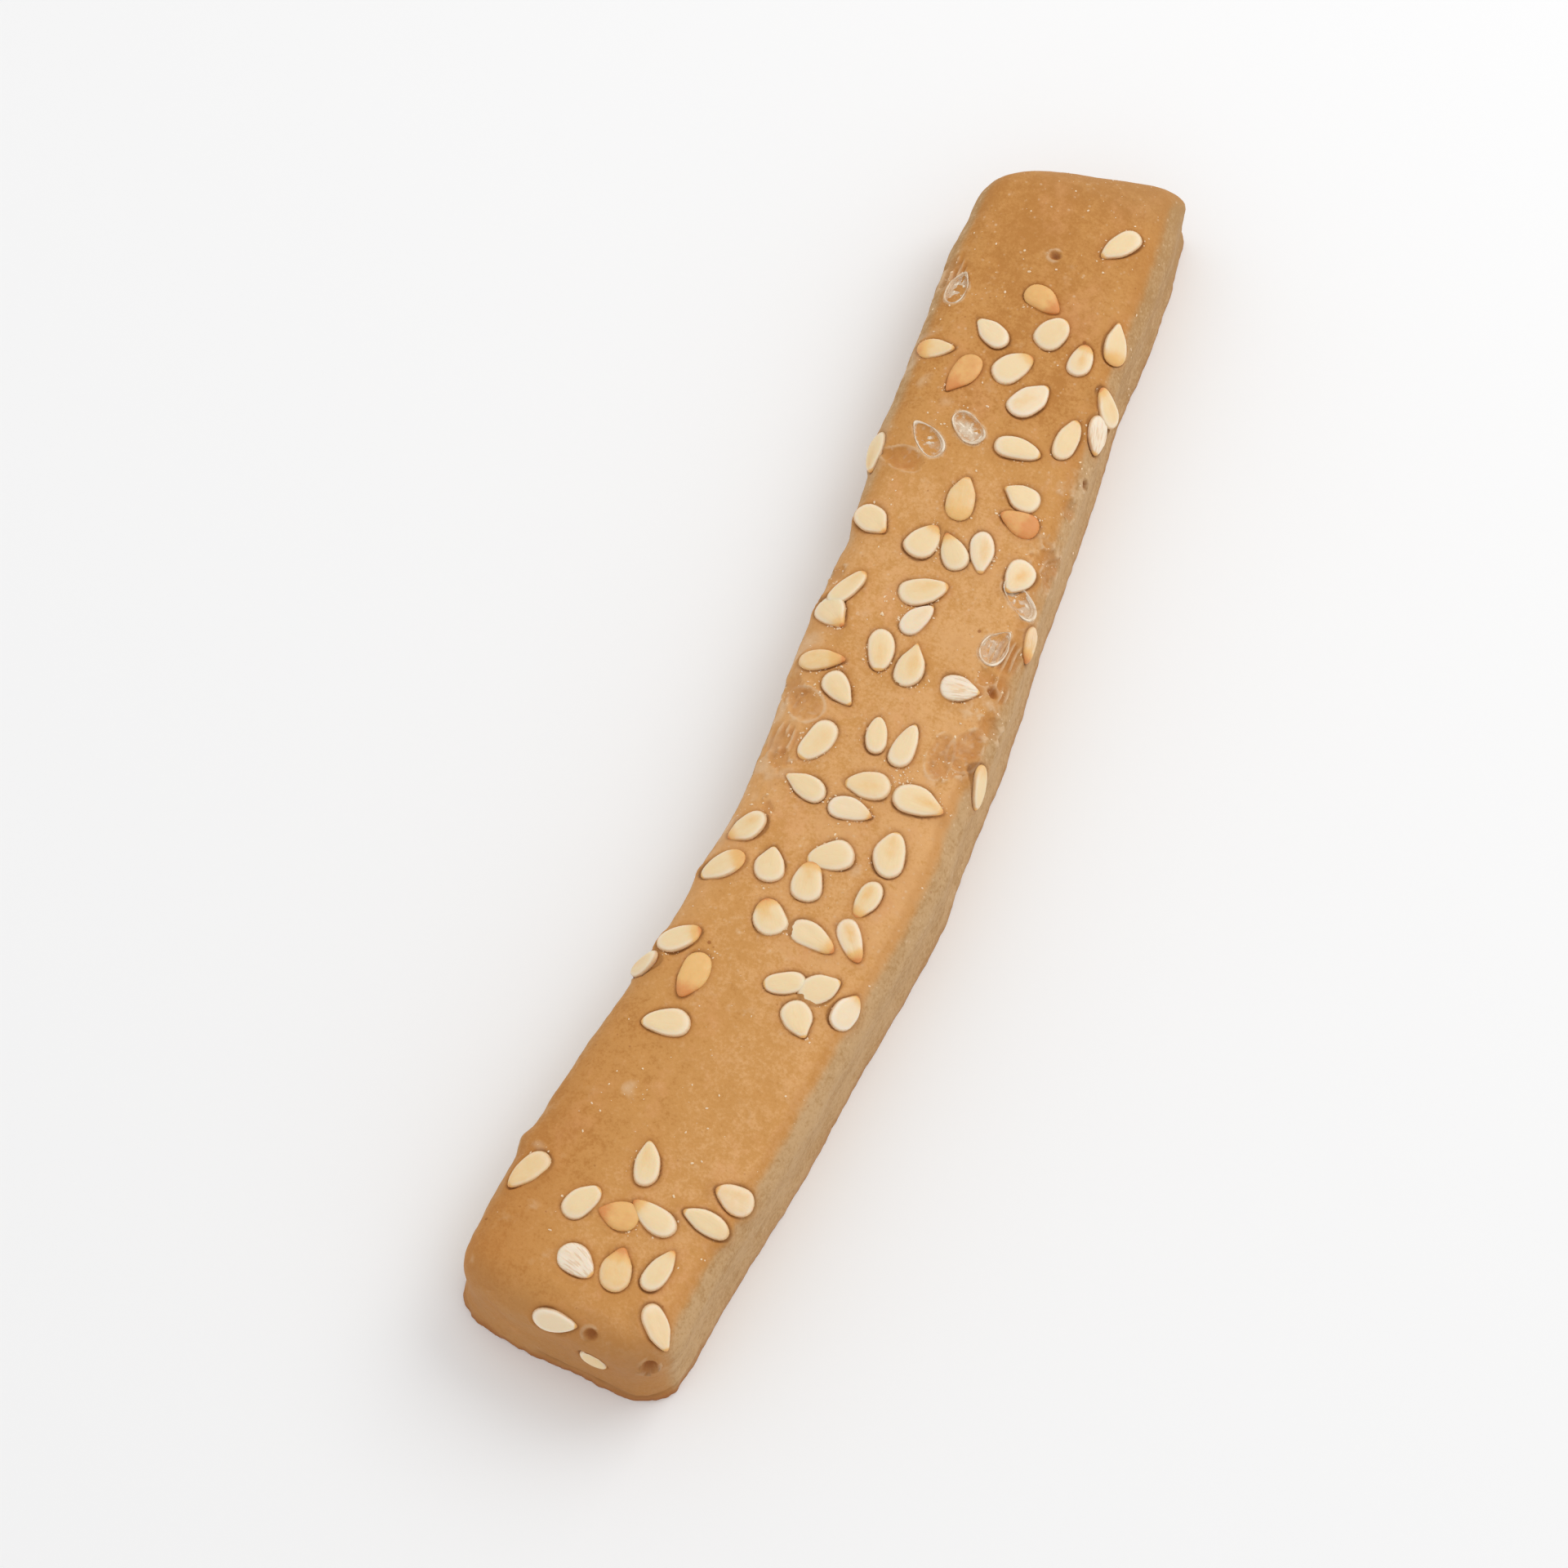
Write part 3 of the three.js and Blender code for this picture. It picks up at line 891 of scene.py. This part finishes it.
class Relief:
    """How far the crust stands in or out at a point, and what is painted there."""

    def __init__(self, stick, seeds, marks):
        self.seeds, self.marks = seeds, marks
        self.tree = KDTree(len(marks))
        for i, mark in enumerate(marks):
            self.tree.insert(mark.matrix.translation, i)
        self.tree.balance()
        self.foamed, self.bubbles, self.folded, self.smeared = (
            [(stick.point(a, s, 1), radius * MM) for a, s, radius in zones]
            for zones in (FOAMED, BUBBLES, FOLDED, SMEARED)
        )
        self.bulges = [(stick.point(a, s, 0.5), radius * MM, out * MM) for a, s, radius, out in BULGES]

    def near(self, co):
        """The marks about a point, each with its reach to the point."""
        for _, i, _ in self.tree.find_range(co, SEARCHED):
            away, place, below = self.marks[i].reach(co)
            if place < MARK_LARGEST:
                yield self.marks[i], away, place, below

    def inside(self, co, zones):
        """How well inside the nearest zone a point is, 0 to 1."""
        return max(smooth(1.9 - 1.4 * (co - centre).length / radius) for centre, radius in zones)

    def close(self, co, band):
        """Whether a point needs the finer squares: by an outline or in a blistered zone."""
        if any(abs(away) < band for _, away, *_ in self.near(co)):
            return True
        return any(self.inside(co, zones) > 0.15 for zones in (self.foamed, self.bubbles, self.folded))

    def bulge(self, co):
        """How far the outline stands out or in beside a point."""
        return sum(out * bell((co - c).xy.length, radius) for c, radius, out in self.bulges)

    def ragged(self, co):
        """How far the edge of the foot frays out or in, -1 to 1."""
        low = smooth(1.3 - co.z / MM) * (1 + 1.2 * smooth((CREASE_FROM - co.y) / CREASE_FADES))
        flat = co.xy.to_3d()
        return low * (0.6 * cloud(flat, 1.3 * MM) + 0.4 * cloud(flat, 0.5 * MM))

    def dough(self, co, wall):
        """Height of the dough's own lumps and grain, how filmy it is with painted highlights on the
        bubbles' rims, and how browned it is.
        """
        height = sum((high + more * wall) * MM * cloud(co, wide * MM) for high, wide, more in LUMPS)
        browned = 0.0
        patchy = smooth(0.35 + 1.6 * cloud(co, 1.4 * MM))
        film = self.inside(co, self.smeared) * (0.15 + 0.45 * patchy)
        near = self.inside(co, self.foamed)
        if near > 0:
            rim, bowl = foam(co, 1.1 * MM)
            crumbs = cloud(co, 0.35 * MM)
            height += near * MM * (0.03 * rim - 0.10 * bowl + 0.04 * crumbs)
            # pale film on the foam, with painted highlights along the bubbles' rims
            film = max(film, near * (0.15 + 0.45 * patchy) * (0.6 + 0.4 * rim + 0.4 * crumbs))
        near = self.inside(co, self.folded)
        if near > 0:
            ridge = folds(co, 0.5 * MM)
            height += 0.36 * MM * near * (ridge - 0.5)
            film = max(film, near * ridge)
            browned = near * (1 - ridge) * 0.7
        for centre, radius in self.bubbles:
            drawn = 1 + 0.55 * cloud(co, radius) + 0.35 * cloud(co, radius / 3)
            far = (co - centre).length / radius * drawn
            if far < 1.6:
                broken = smooth(0.2 + 2.4 * cloud(co, 0.7 * MM))
                rim = bell(far - 1.0, 0.10 + 0.12 * broken)
                bowl = max(0, 1 - far * far)
                height += 0.10 * MM * rim * broken - 0.26 * bowl * radius
                # painted highlights along the broken rim
                film = max(film, 0.8 * rim * broken) * (1 - 0.6 * smooth(bowl * 2))
                browned = max(browned, 0.7 * smooth(bowl * 1.5))
        return height, film, browned

    def crease(self, co):
        """How deep in the crease over the base of the near end a point is, 0 to 1."""
        if co.y > CREASE_FROM or co.z > 3 * CREASE_HEIGHT:
            return 0
        drift = 0.35 * MM * cloud(co, 4 * MM)
        line = bell(co.z - CREASE_HEIGHT - drift, 0.16 * MM)
        patchy = smooth(0.45 + 1.5 * cloud(co, 3.5 * MM))
        return line * patchy * smooth((CREASE_FROM - co.y) / CREASE_FADES)

    def at(self, co, wall):
        """Height along the normal, then from 0 to 1: painted shade in crevices, the print, painted shade
        inside pits and filmy flour with painted glints.
        """
        height, film, printed = self.dough(co, wall)
        crease = self.crease(co)
        height -= 0.12 * MM * crease
        # painted shade along the crease
        crevice = crease * 0.6
        pit = 0.0
        patchy = smooth(0.62 + 0.9 * cloud(co, 0.9 * MM))
        uneven = 0.2 + 0.8 * smooth(0.55 + 1.5 * cloud(co, 1.9 * MM))
        for mark, away, place, below in self.near(co):
            if mark.kind == "p":
                ragged = place * (1 + 0.45 * cloud(co, 0.5 * MM))
                height -= mark.wide * 0.45 * max(0, 1 - ragged * ragged)
                height += 0.12 * mark.wide * ring(away, 0.12, 0.14)
                # painted shade inside the pit and a painted highlight on its raised rim
                pit = max(pit, smooth(1.3 - ragged))
                film = max(film, mark.wide / MM * ring(away, 0.16, 0.16) * patchy)
            elif mark.kind in "os":
                bare = mark.kind == "o"
                ragged = place * (1 + (0.30 if bare else 0.04) * cloud(co, 0.7 * MM))
                speckled = cloud(co, 0.3 * MM)
                deep = self.seeds.bed_depth * PRINT_SHARE + 0.10 * MM * speckled
                height -= deep * max(0, 1 - ragged**3)
                height += 0.05 * MM * ring(away, 0.08, 0.12)
                printed = max(printed, smooth((1.1 - ragged) * 2.5) * (0.9 if bare else 0.3))
                # painted highlights: glints in the print, and a pale line round its rim
                glints = smooth(4 * speckled - 1) * smooth(2.4 - 2 * ragged)
                film = max(film, ring(away, 0.05, 0.12) * patchy, 0.8 * glints)
            else:
                # on a rounded shoulder the dough rises to the seed's rim
                outside = max(away, 0)
                height += 0.85 * min(max(0, below), 0.35 * MM) * ring(outside, 0, 0.40)
                height -= 0.13 * MM * ring(away, 0.02, 0.09) * uneven
                height += 0.05 * MM * ring(away, 0.28, 0.16)
                # painted shade: a thin, patchy dark line where the seed meets the crust
                crevice = max(crevice, ring(outside, 0, 0.10) * (0.15 + 0.85 * uneven))
                printed = max(printed, 0.45 * ring(outside, 0, 0.5))
        return height, crevice, printed, pit, film


def cut_block(bm, cells):
    """A cube from -1 to 1 whose sides are cut into cells[0] by cells[1] by cells[2]."""
    bmesh.ops.create_cube(bm, size=2)
    for axis in (1, 0, 2):
        edges = [e for e in bm.edges if abs((e.verts[0].co - e.verts[1].co)[axis]) > TINY]
        bmesh.ops.subdivide_edges(bm, edges=edges, cuts=cells[axis] - 1, use_grid_fill=True)


# How the block's squares crowd towards the sides, the ends and the base.
CROWDED_ACROSS = 0.45
CROWDED_ALONG = 0.35
CROWDED_DOWN = 1.25


def make_crust(stick, seeds, marks, material):
    """The baked crust in fine relief, in place of the plain solid."""
    bm = bmesh.new()
    spans = (stick.width, stick.cell), (stick.length, stick.cell), (stick.height, stick.wall_cell)
    cut_block(bm, [round(size / cell) for size, cell in spans])
    under = [f for f in bm.faces if all(v.co.z < TINY - 1 for v in f.verts)]
    bmesh.ops.delete(bm, geom=under, context="FACES")
    for vert in bm.verts:
        x, y, z = vert.co
        level = ((z + 1) / 2) ** CROWDED_DOWN
        vert.co = stick.point(crowd(x, CROWDED_ACROSS), crowd(y, CROWDED_ALONG), level)
    relief = Relief(stick, seeds, marks)
    close = {v for v in bm.verts if relief.close(v.co, stick.fine_band)}
    edges = [e for e in bm.edges if all(v in close for v in e.verts)]
    bmesh.ops.subdivide_edges(bm, edges=edges, cuts=1, use_grid_fill=True)
    layers = add_layers(bm, "across", "wall", "end", "crevice", "print", "pit", "film")
    bm.normal_update()
    for vert in bm.verts:
        across = (vert.co.x - stick.middle(vert.co.y) - stick.shift_x) / (stick.width / 2)
        # the greyer wall runs up over the right shoulder, less so about the middle
        nx, ny, nz = vert.normal
        over = smooth(0.5 + across) * (1 - 0.5 * bell(vert.co.y - 12 * MM, 12 * MM))
        over = max(over, 0.75 * smooth(-across) * smooth((vert.co.y - 8 * MM) / (14 * MM)))
        steep, shoulder = smooth((0.75 - nz) / 0.6), smooth((0.98 - nz) / 0.36)
        wall = max(steep, shoulder * (0.4 + 0.6 * over)) * (1 - 0.6 * smooth(1.5 * abs(ny)))
        height, *shades = relief.at(vert.co, steep)
        for layer, value in zip(layers, (across, wall, smooth(-ny), *shades)):
            vert[layer] = value
        height *= smooth(vert.co.z / (0.5 * MM))
        out = relief.bulge(vert.co) + stick.ragged * relief.ragged(vert.co)
        level = vert.co.z
        vert.co += vert.normal * height + Vector((nx, ny, 0)) * out
        # nothing sinks below the flat base
        vert.co.z = max(vert.co.z, level / 2)
    shade_smooth(bm)
    rim = [e for e in bm.edges if e.is_boundary]
    for edge in rim:
        edge.smooth = False
    bmesh.ops.triangle_fill(bm, edges=rim, normal=(0, 0, -1), use_beauty=True)
    piece = add_piece(CRUST, bm, material)
    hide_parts(NODE)
    return piece


class SeedLook:
    """How one seed differs from the others."""

    def __init__(self, draw, seeds, kind):
        browned, papery = kind == "b", kind == "w"
        tilt = Matrix.Rotation(draw.between(-0.10, 0.10), 4, "X")
        tilt = tilt @ Matrix.Rotation(draw.between(-0.05, 0.05), 4, "Y")
        self.turned = Matrix.Translation((0, 0, seeds.lift * draw.between(0.1, 1.4))) @ tilt
        self.tone = 1.0 if papery else draw.between(0.0, 0.75)
        self.ridge = (0.030 if papery else 0.006) * MM
        self.whole = draw.between(0.15, 0.7) if browned else max(0, draw() - 0.85) * 1.6
        self.tip = draw.between(0.6, 1.0) if browned else max(0, draw() - 0.50) * 1.7
        self.end = 1 if draw() < 0.75 else -1
        self.heart = max(0, draw() - 0.25) * 1.4
        self.heart_at = draw.between(-0.35, 0.35), draw.between(-0.25, 0.25)
        self.thick = seeds.thick * draw.between(0.9, 1.1)
        self.phase = draw.between(0, math.tau)
        self.dent = draw.between(0.0, 0.09) * MM

    def top(self, x, y, z):
        """Height of the seed's own surface, slightly ribbed along and dented at the heart."""
        away = math.hypot(x + self.heart_at[0], (y + self.heart_at[1]) * 1.4)
        ribbed = self.ridge * math.sin(y * 13 + self.phase)
        return z * self.thick / 2 + (ribbed - self.dent * bell(away, 0.45)) * max(z, 0)


SEED_SIDES = 28
SEED_RINGS = 14
# The power that makes a ball's outline fuller.
SEED_FULLNESS = 0.60


def make_seeds(seeds, marks, material):
    """All the seeds, one joined mesh."""
    bm = bmesh.new()
    layers = add_layers(bm, "tone", "toast", "heart", "rim", "aside", "ahead")
    draw = Draw(SOWING_START + 2).skipped(SKIPPED)
    for mark in marks:
        if mark.kind in "osp":
            continue
        look = SeedLook(draw, seeds, mark.kind)
        made = bmesh.ops.create_uvsphere(bm, u_segments=SEED_SIDES, v_segments=SEED_RINGS, radius=1)
        for vert in made["verts"]:
            x, y, z = vert.co
            rho = math.hypot(x, y)
            fuller = rho**SEED_FULLNESS / rho if rho > TINY else 1
            x, y = x * fuller, y * fuller
            round_at = math.atan2(y, x)
            wobble = 1 + 0.03 * math.sin(3 * round_at + look.phase) + 0.02 * math.sin(5 * round_at)
            vert.co = mark.spot(x, y * wobble, look.top(x, y, z), look.turned)
            heart = math.hypot(x - look.heart_at[0], (y - look.heart_at[1]) * 1.3)
            toast = look.whole + look.tip * smooth((x * look.end - 0.1) / 0.9)
            toast = min(1, toast + 0.6 * smooth((x - 0.78) / 0.22))
            values = look.tone, toast, look.heart * smooth(1 - heart / 0.8), math.hypot(x, y), y, x
            for layer, value in zip(layers, values):
                vert[layer] = value
    shade_smooth(bm)
    return add_piece("sesame_seeds", bm, material)


SKIN_REACHES = (1.05, 1.02, 0.99, 0.96, 0.92, 0.87, 0.82, 0.77, 0.70, 0.62, 0.53, 0.44, 0.34, 0.24, 0.12)
SKIN_SIDES = 60
SKIN_THICK = 0.035 * MM


def add_rings(bm, reaches, segments):
    """A round disc made of rings, from the outermost in: its points and its faces."""
    verts = bmesh.ops.create_circle(bm, segments=segments, radius=reaches[0], cap_ends=False)["verts"]
    every, faces = list(verts), []
    edges = list({e for v in verts for e in v.link_edges})
    for before, reach in zip(reaches, reaches[1:]):
        grown = bmesh.ops.extrude_edge_only(bm, edges=edges)["geom"]
        verts = [g for g in grown if isinstance(g, bmesh.types.BMVert)]
        edges = [g for g in grown if isinstance(g, bmesh.types.BMEdge)]
        faces += [g for g in grown if isinstance(g, bmesh.types.BMFace)]
        edges = [e for e in edges if all(v in verts for v in e.verts)]
        bmesh.ops.scale(bm, vec=(reach / before,) * 3, verts=verts)
        every += verts
    faces += bmesh.ops.contextual_create(bm, geom=edges)["faces"]
    return every, faces


def make_skins(seeds, marks, material):
    """The glassy skins that lost seeds left: a thin white rim round a clear sheet in the print, with
    painted glints.
    """
    bm = bmesh.new()
    (film_and_glint_at,) = add_layers(bm, "film")
    draw = Draw(SOWING_START + 3).skipped(SKIPPED)
    for mark in marks:
        if mark.kind != "s":
            continue
        phase = draw.between(0, 6)
        clear, white = draw.between(0.01, 0.04), draw.between(0.2, 0.7)
        verts, faces = add_rings(bm, SKIN_REACHES, SKIN_SIDES)
        for vert in verts:
            x, y, _ = vert.co
            place = math.hypot(x, y)
            angle = math.atan2(y, x)
            torn = 0.55 + 0.45 * math.sin(angle * 2 + phase) * math.sin(angle + phase * 2)
            rim, inner = bell(place - 0.97, 0.04 + 0.05 * torn), bell(place - 0.82, 0.035)
            sunk = seeds.bed_depth * PRINT_SHARE * max(0, 1 - place**4)
            height = (0.06 + 0.12 * torn) * MM * rim + 0.05 * MM * inner * torn - sunk + 0.02 * MM
            vert.co = mark.spot(x, y, height, Matrix())
            # painted highlights: bright glints laid on the skin's clear middle
            glints = smooth(5 * cloud(vert.co, 0.28 * MM) - 1.2) * smooth(1.3 - place)
            broken = 0.45 + 0.75 * smooth(0.6 + 1.6 * cloud(vert.co, 0.55 * MM))
            milky = white * smooth(0.5 + y + torn - x) * smooth(1.2 - place)
            edges = broken * ((0.25 + torn) * rim + 0.6 * inner * torn)
            vert[film_and_glint_at] = clear + milky + 0.6 * glints + edges
        bmesh.ops.recalc_face_normals(bm, faces=faces)
        bmesh.ops.solidify(bm, geom=faces, thickness=SKIN_THICK)
    shade_smooth(bm)
    return add_piece("seed_skins", bm, material)


# Specks fall from so far above the crust, and stay if they land above the walls' foot.
SPECK_DROP = 1 * MM
ZONE_SPECK_DROP = 1.5 * MM
SPECK_LOWEST = 1 * MM
ZONE_SPECKS = 9
# Beyond this place along the stick, towards the near end, only some clusters are kept.
FEWER_FROM = -12 * MM


def speck_places(stick, seeds, marks, draw):
    """Where flour specks lie, above the crust: caught beside the seeds and singly, fewer near."""
    places = []
    for _ in range(seeds.clusters):
        mark = marks[int(draw() * len(marks))]
        angle, count, kept = draw.between(0, math.tau), 2 + int(draw() * 8), draw() < 0.3
        for _ in range(count):
            turned = angle + draw.between(-0.3, 0.3) + draw.between(-0.3, 0.3)
            far = 1.02 + 0.4 * draw() ** 2
            spot = mark.spot(math.cos(turned) * far, math.sin(turned) * far, SPECK_DROP, Matrix())
            if mark.kind != "s" and (kept or spot.y > FEWER_FROM):
                places.append(spot)
    for across, along, radius in FOAMED + BUBBLES + SMEARED:
        middle = stick.point(across, along, 1)
        for _ in range(ZONE_SPECKS):
            angle, far = draw.between(0, math.tau), radius * MM * 1.2 * draw() ** 0.6
            spot = Vector((math.cos(angle) * far, math.sin(angle) * far, ZONE_SPECK_DROP))
            places.append(middle + spot)
    for _ in range(seeds.specks):
        along = 1 - 1.9 * draw() ** 1.4
        places.append(stick.point(draw.between(-0.95, 0.95), along, 1) + Vector((0, 0, SPECK_DROP)))
    return places


def make_specks(stick, seeds, marks, crust, material):
    """Flour caught round the seeds and strewn on the crust."""
    bm = bmesh.new()
    draw = Draw(SOWING_START + 4).skipped(SKIPPED)
    corners = [v.co for v in crust.data.vertices]
    tree = BVHTree.FromPolygons(corners, [p.vertices for p in crust.data.polygons])
    for start in speck_places(stick, seeds, marks, draw):
        spot, normal, _, _ = tree.ray_cast(start, Vector((0, 0, -1)))
        big = (0.028 + 0.070 * draw() ** 2.5) * MM
        turn = Matrix.Rotation(draw.between(0, math.tau), 4, "Z")
        stretch = Matrix.Diagonal((big * draw.between(1, 1.7), big, big * 0.8, 1))
        if spot is None or spot.z < SPECK_LOWEST:
            continue
        upright = normal.to_track_quat("Z", "Y").to_matrix().to_4x4()
        place = Matrix.Translation(spot) @ upright @ turn @ stretch
        for vert in bmesh.ops.create_icosphere(bm, subdivisions=1, radius=1)["verts"]:
            vert.co = place @ (vert.co * draw.between(0.6, 1.3))
    return add_piece("flour_specks", bm, material)


# ---- the stage ----


SENSOR_WIDTH = 36
CLIP_START = 0.01


def add_floor(material):
    """A wide floor just under the stick."""
    bm = bmesh.new()
    bmesh.ops.create_grid(bm, x_segments=1, y_segments=1, size=FLOOR_SIZE)
    bmesh.ops.translate(bm, verts=bm.verts, vec=(0, 0, -FLOOR_GAP))
    floor = add_mesh("floor", bm, material)


def add_light(name, power, size, place):
    """A soft square lamp that faces the stick."""
    lamp = bpy.data.lights.new(name, "AREA")
    lamp.energy, lamp.size = power, size
    light = add_object(name, lamp)
    light.location = place
    light.rotation_euler = (-Vector(place)).to_track_quat("-Z", "Y").to_euler()


def add_camera(stage):
    """The camera, from its angles round the point it looks at."""
    turn, rise, roll = stage.turn, stage.rise, stage.roll
    back = Vector((math.sin(turn) * math.cos(rise), -math.cos(turn) * math.cos(rise), math.sin(rise)))
    level = Vector((0, 0, 1)).cross(back).normalized()
    up = back.cross(level)
    right = level * math.cos(roll) + up * math.sin(roll)
    upright = up * math.cos(roll) - level * math.sin(roll)
    matrix = Matrix((right, upright, back)).transposed().to_4x4()
    matrix.translation = Vector(stage.target) + back * stage.distance
    lens = bpy.data.cameras.new("camera")
    lens.sensor_width, lens.lens, lens.clip_start = SENSOR_WIDTH, stage.lens, CLIP_START
    camera = add_object("camera", lens)
    camera.matrix_world = matrix
    bpy.context.scene.camera = camera


def light_world(brightness):
    """An even white fill from all round."""
    world = bpy.data.worlds.new("fill")
    world.use_nodes = True
    fill = world.node_tree.nodes["Background"]
    fill.inputs["Color"].default_value = (1, 1, 1, 1)
    fill.inputs["Strength"].default_value = brightness
    bpy.context.scene.world = world


# ---- operators ----


def laid_out(scene):
    """The stick, what is set for its seeds, and every mark on it."""
    stick, seeds = Stick(scene.breadstick_sizes), scene.breadstick_seeds
    return stick, seeds, lay_marks(stick, seeds, sow(scene.breadstick_sizes, seeds))


class Step:
    """What the steps that make a piece share."""

    def execute(self, context):
        scene = context.scene
        self.make(scene.breadstick_colours, *laid_out(scene))
        return {"FINISHED"}


class BREADSTICK_OT_crust(Step, Operator):
    """Makes the baked crust in place of the plain solid"""

    bl_idname = "breadstick.crust"
    bl_label = "Baked crust"

    def make(self, colours, stick, seeds, marks):
        make_crust(stick, seeds, marks, paint_crust(colours))


class BREADSTICK_OT_seeds(Step, Operator):
    """Lays the sesame seeds in their beds"""

    bl_idname = "breadstick.seeds"
    bl_label = "Sesame seeds"

    def make(self, colours, stick, seeds, marks):
        make_seeds(seeds, marks, paint_seeds(colours))


class BREADSTICK_OT_skins(Step, Operator):
    """Leaves the glassy skins of lost seeds in their prints"""

    bl_idname = "breadstick.skins"
    bl_label = "Seed skins"

    def make(self, colours, stick, seeds, marks):
        make_skins(seeds, marks, paint_skins(colours))


class BREADSTICK_OT_specks(Step, Operator):
    """Strews flour and salt over the crust, which has to be there"""

    bl_idname = "breadstick.specks"
    bl_label = "Flour specks"

    def make(self, colours, stick, seeds, marks):
        crust = bpy.data.objects.get(CRUST)
        if crust is None:
            raise RuntimeError("make the crust first")
        make_specks(stick, seeds, marks, crust, paint_specks(colours))


class BREADSTICK_OT_stage(Operator):
    """Sets the pale floor, the soft light and the camera"""

    bl_idname = "breadstick.stage"
    bl_label = "Floor, light and camera"

    def execute(self, context):
        scene = context.scene
        stage = scene.breadstick_stage
        add_floor(paint_floor(scene.breadstick_colours))
        add_light("key_light", stage.key_power, stage.key_size, stage.key_place)
        light_world(stage.fill)
        add_camera(stage)
        scene.view_settings.view_transform = "Standard"
        return {"FINISHED"}


class BREADSTICK_PT_panel(Panel):
    """The steps and their sizes and colours"""

    bl_idname = "BREADSTICK_PT_panel"
    bl_label = "Breadstick"
    bl_space_type = "VIEW_3D"
    bl_region_type = "UI"
    bl_category = "Breadstick"

    def draw(self, context):
        layout = self.layout
        for operator in OPERATORS:
            layout.operator(operator.bl_idname)
        for name in GROUPS:
            group = getattr(context.scene, name)
            box = layout.box()
            for key in group.bl_rna.properties.keys():
                if key not in ("rna_type", "name"):
                    box.prop(group, key)


OPERATORS = (
    BREADSTICK_OT_crust,
    BREADSTICK_OT_seeds,
    BREADSTICK_OT_skins,
    BREADSTICK_OT_specks,
    BREADSTICK_OT_stage,
)
GROUPS = {
    "breadstick_sizes": BreadstickSizes,
    "breadstick_seeds": BreadstickSeeds,
    "breadstick_colours": BreadstickColours,
    "breadstick_stage": BreadstickStage,
}


def register():
    for item in (*GROUPS.values(), *OPERATORS, BREADSTICK_PT_panel):
        bpy.utils.register_class(item)
    for name, group in GROUPS.items():
        setattr(bpy.types.Scene, name, PointerProperty(type=group))


def unregister():
    for name in GROUPS:
        delattr(bpy.types.Scene, name)
    for item in (BREADSTICK_PT_panel, *reversed(OPERATORS), *reversed(GROUPS.values())):
        bpy.utils.unregister_class(item)


def main():
    """Makes every piece."""
    register()
    bpy.ops.breadstick.crust()
    bpy.ops.breadstick.seeds()
    bpy.ops.breadstick.skins()
    bpy.ops.breadstick.specks()
    bpy.ops.breadstick.stage()


if __name__ == "__main__":
    main()
